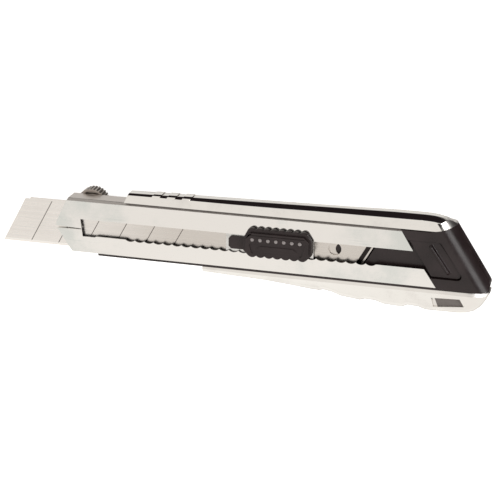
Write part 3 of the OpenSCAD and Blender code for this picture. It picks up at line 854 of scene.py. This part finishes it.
def make_wheel():
    low, high = corners("lock_wheel")
    centre = (low + high) / 2
    radius = (high.x - low.x) / 2
    teeth = 28
    # one tooth, as shares of its pitch and depths below the rim
    tooth = ((-0.34, 0.0), (-0.12, 0.0), (0.02, 0.45), (0.16, 0.7), (0.3, 0.45), (0.44, 0.0))
    outline = []
    for i in range(teeth):
        for share, depth in tooth:
            a = math.radians(360 * (i + share) / teeth)
            r = radius - depth
            outline.append((centre.x + r * math.cos(a), centre.y + r * math.sin(a)))
    piece = prism("knurled_wheel", outline, low.z, high.z)
    for z0, z1 in ((high.z - 1.0, high.z + 1), (low.z - 1, low.z + 1.0)):
        dish = rod("dish", (centre.x, centre.y, (z0 + z1) / 2), radius - 1.5, z1 - z0, 64)
        cut(dish, rod("hub", (centre.x, centre.y, centre.z), 4.4, 20, 48))
        cut(piece, dish)
    cut(piece, rod("bore", (centre.x, centre.y, centre.z), 2.56, 20, 48))
    soften(piece, 0.22, 2, 28)
    return place(piece, "wheel", "wheel_steel", LOOKS["wheel_steel"], "lock_wheel")


def softened_copy(node, name, width, body, slot, steps=2):
    """A copy of a CAD piece with its sharp edges rounded."""
    piece = copy_of(frame["nodes"][node], name)
    piece.parent = None
    for key in list(piece.keys()):
        del piece[key]
    pick(piece)
    bpy.ops.object.mode_set(mode="EDIT")
    bpy.ops.mesh.select_all(action="SELECT")
    bpy.ops.mesh.remove_doubles(threshold=0.000002)
    bpy.ops.mesh.dissolve_limited(angle_limit=math.radians(0.3))
    bpy.ops.object.mode_set(mode="OBJECT")
    soften(piece, width, steps, 32)
    return place(piece, body, slot, LOOKS[slot], node)


make_sleeve()
make_rail()
make_grip()
make_cap()
make_latch()
make_thumb_pad()
make_wheel()
softened_copy("frame_casting", "casting", 0.3, "frame", "cast_alloy")
softened_copy("back_cover", "rear_plate", 0.12, "frame", "black_plastic", 1)
softened_copy("carrier_plate", "carrier", 0.14, "carriage", "bright_steel")
softened_copy("wheel_bracket", "wheel_strap", 0.14, "frame", "bright_steel")

# Every CAD node that stays keeps its shape and gets the look of its own material slot
SLOT_OF = {part["node"]: part["material_slot"] for part in frame["record"]["subparts"]}
for node, part in frame["nodes"].items():
    part.data.materials.clear()
    part.data.materials.append(LOOKS[SLOT_OF[node]])


# ------------------------------------------------------ floor, light and camera

deselect()
bpy.ops.mesh.primitive_plane_add(size=6, location=(0, 0, 0))
floor = bpy.context.object
floor.name = "floor"
paper = Look("paper", (0.95, 0.95, 0.945), 0.0, 0.9)
paper.roughness(paper.effect("moulding", 900.0)["Patch"], 0.0, 1.0, 0.8, 0.95)
paper.shader.inputs["Emission Color"].default_value = (1.0, 0.995, 0.985, 1)
paper.shader.inputs["Emission Strength"].default_value = 0.8
floor.data.materials.append(paper.material)
floor.visible_glossy = False


def softbox(name, place_at, aim_at, width, height, power):
    deselect()
    bpy.ops.object.light_add(type="AREA", location=place_at)
    lamp = bpy.context.object
    lamp.name = name
    lamp.data.shape = "RECTANGLE"
    lamp.data.size, lamp.data.size_y = width, height
    lamp.data.energy = power
    lamp.rotation_euler = (Vector(aim_at) - Vector(place_at)).to_track_quat("-Z", "Y").to_euler()


softbox("window", (0.725, 0.17, 0.61), (0.095, 0, 0.01), 0.5, 0.55, 4.2)

world = bpy.data.worlds.new("studio")
bpy.context.scene.world = world
world.use_nodes = True
sky = world.node_tree
aim = sky.nodes.new("ShaderNodeTexCoord").outputs["Generated"]
split = sky.nodes.new("ShaderNodeSeparateXYZ")
sky.links.new(aim, split.inputs[0])


def shade(factor, under, over):
    """Lays one tone of the room over another by a factor."""
    node = sky.nodes.new("ShaderNodeMix")
    node.data_type = "RGBA"
    if isinstance(under, tuple):
        node.inputs["A"].default_value = (*under, 1)
    else:
        sky.links.new(under, node.inputs["A"])
    node.inputs["B"].default_value = (*over, 1)
    sky.links.new(factor, node.inputs["Factor"])
    return node.outputs["Result"]


def both(a, b):
    return maths_in(sky, "MULTIPLY", a, b)


# a bright room, lighter on the grip's side, darker underneath, with dark corners past the spine and the cap
x, y, z = split.outputs["X"], split.outputs["Y"], split.outputs["Z"]
BLACK_WALL, BLACK_CORNER = (0.016, 0.012, 0.013), (0.016, 0.013, 0.013)
tone = shade(span_in(sky, z, 0.8, 0.2), (0.88, 0.855, 0.82), (0.97, 0.955, 0.93))
tone = shade(span_in(sky, z, 0.0, -0.3), tone, (0.8, 0.785, 0.76))
tone = shade(span_in(sky, y, -0.2, -1.0), tone, (1.06, 1.045, 1.01))
tone = shade(both(span_in(sky, z, -0.35, -0.8), span_in(sky, y, 0.1, -0.15)), tone, (0.5, 0.475, 0.45))
past = maths_in(sky, "ADD", both(x, 0.5), both(y, 0.87))
band = both(span_in(sky, z, -0.66, -0.58), span_in(sky, z, 0.54, 0.46))
tone = shade(both(span_in(sky, past, 0.31, 0.39), band), tone, BLACK_WALL)
tone = shade(both(span_in(sky, x, 0.12, 0.24), span_in(sky, y, -0.3, -0.15)), tone, BLACK_CORNER)
sky.links.new(tone, sky.nodes["Background"].inputs["Color"])
sky.nodes["Background"].inputs["Strength"].default_value = 1.0

CAMERA_PLACE = Vector((160.1, 239.87, 655.2)) * MM
CAMERA_AIM = Vector((-7.43, -4.04, 17.66)) * MM
CAMERA_ROLL = -142.42
bpy.ops.object.camera_add(location=CAMERA_PLACE)
camera = bpy.context.object
look_at = (CAMERA_AIM - CAMERA_PLACE).to_track_quat("-Z", "Y").to_matrix()
camera.rotation_euler = (look_at @ Matrix.Rotation(math.radians(CAMERA_ROLL), 3, "Z")).to_euler()
camera.data.lens = 100.8
camera.data.sensor_width = 36
camera.data.clip_start, camera.data.clip_end = 0.02, 20
bpy.context.scene.camera = camera
bpy.context.scene.view_settings.view_transform = "Standard"
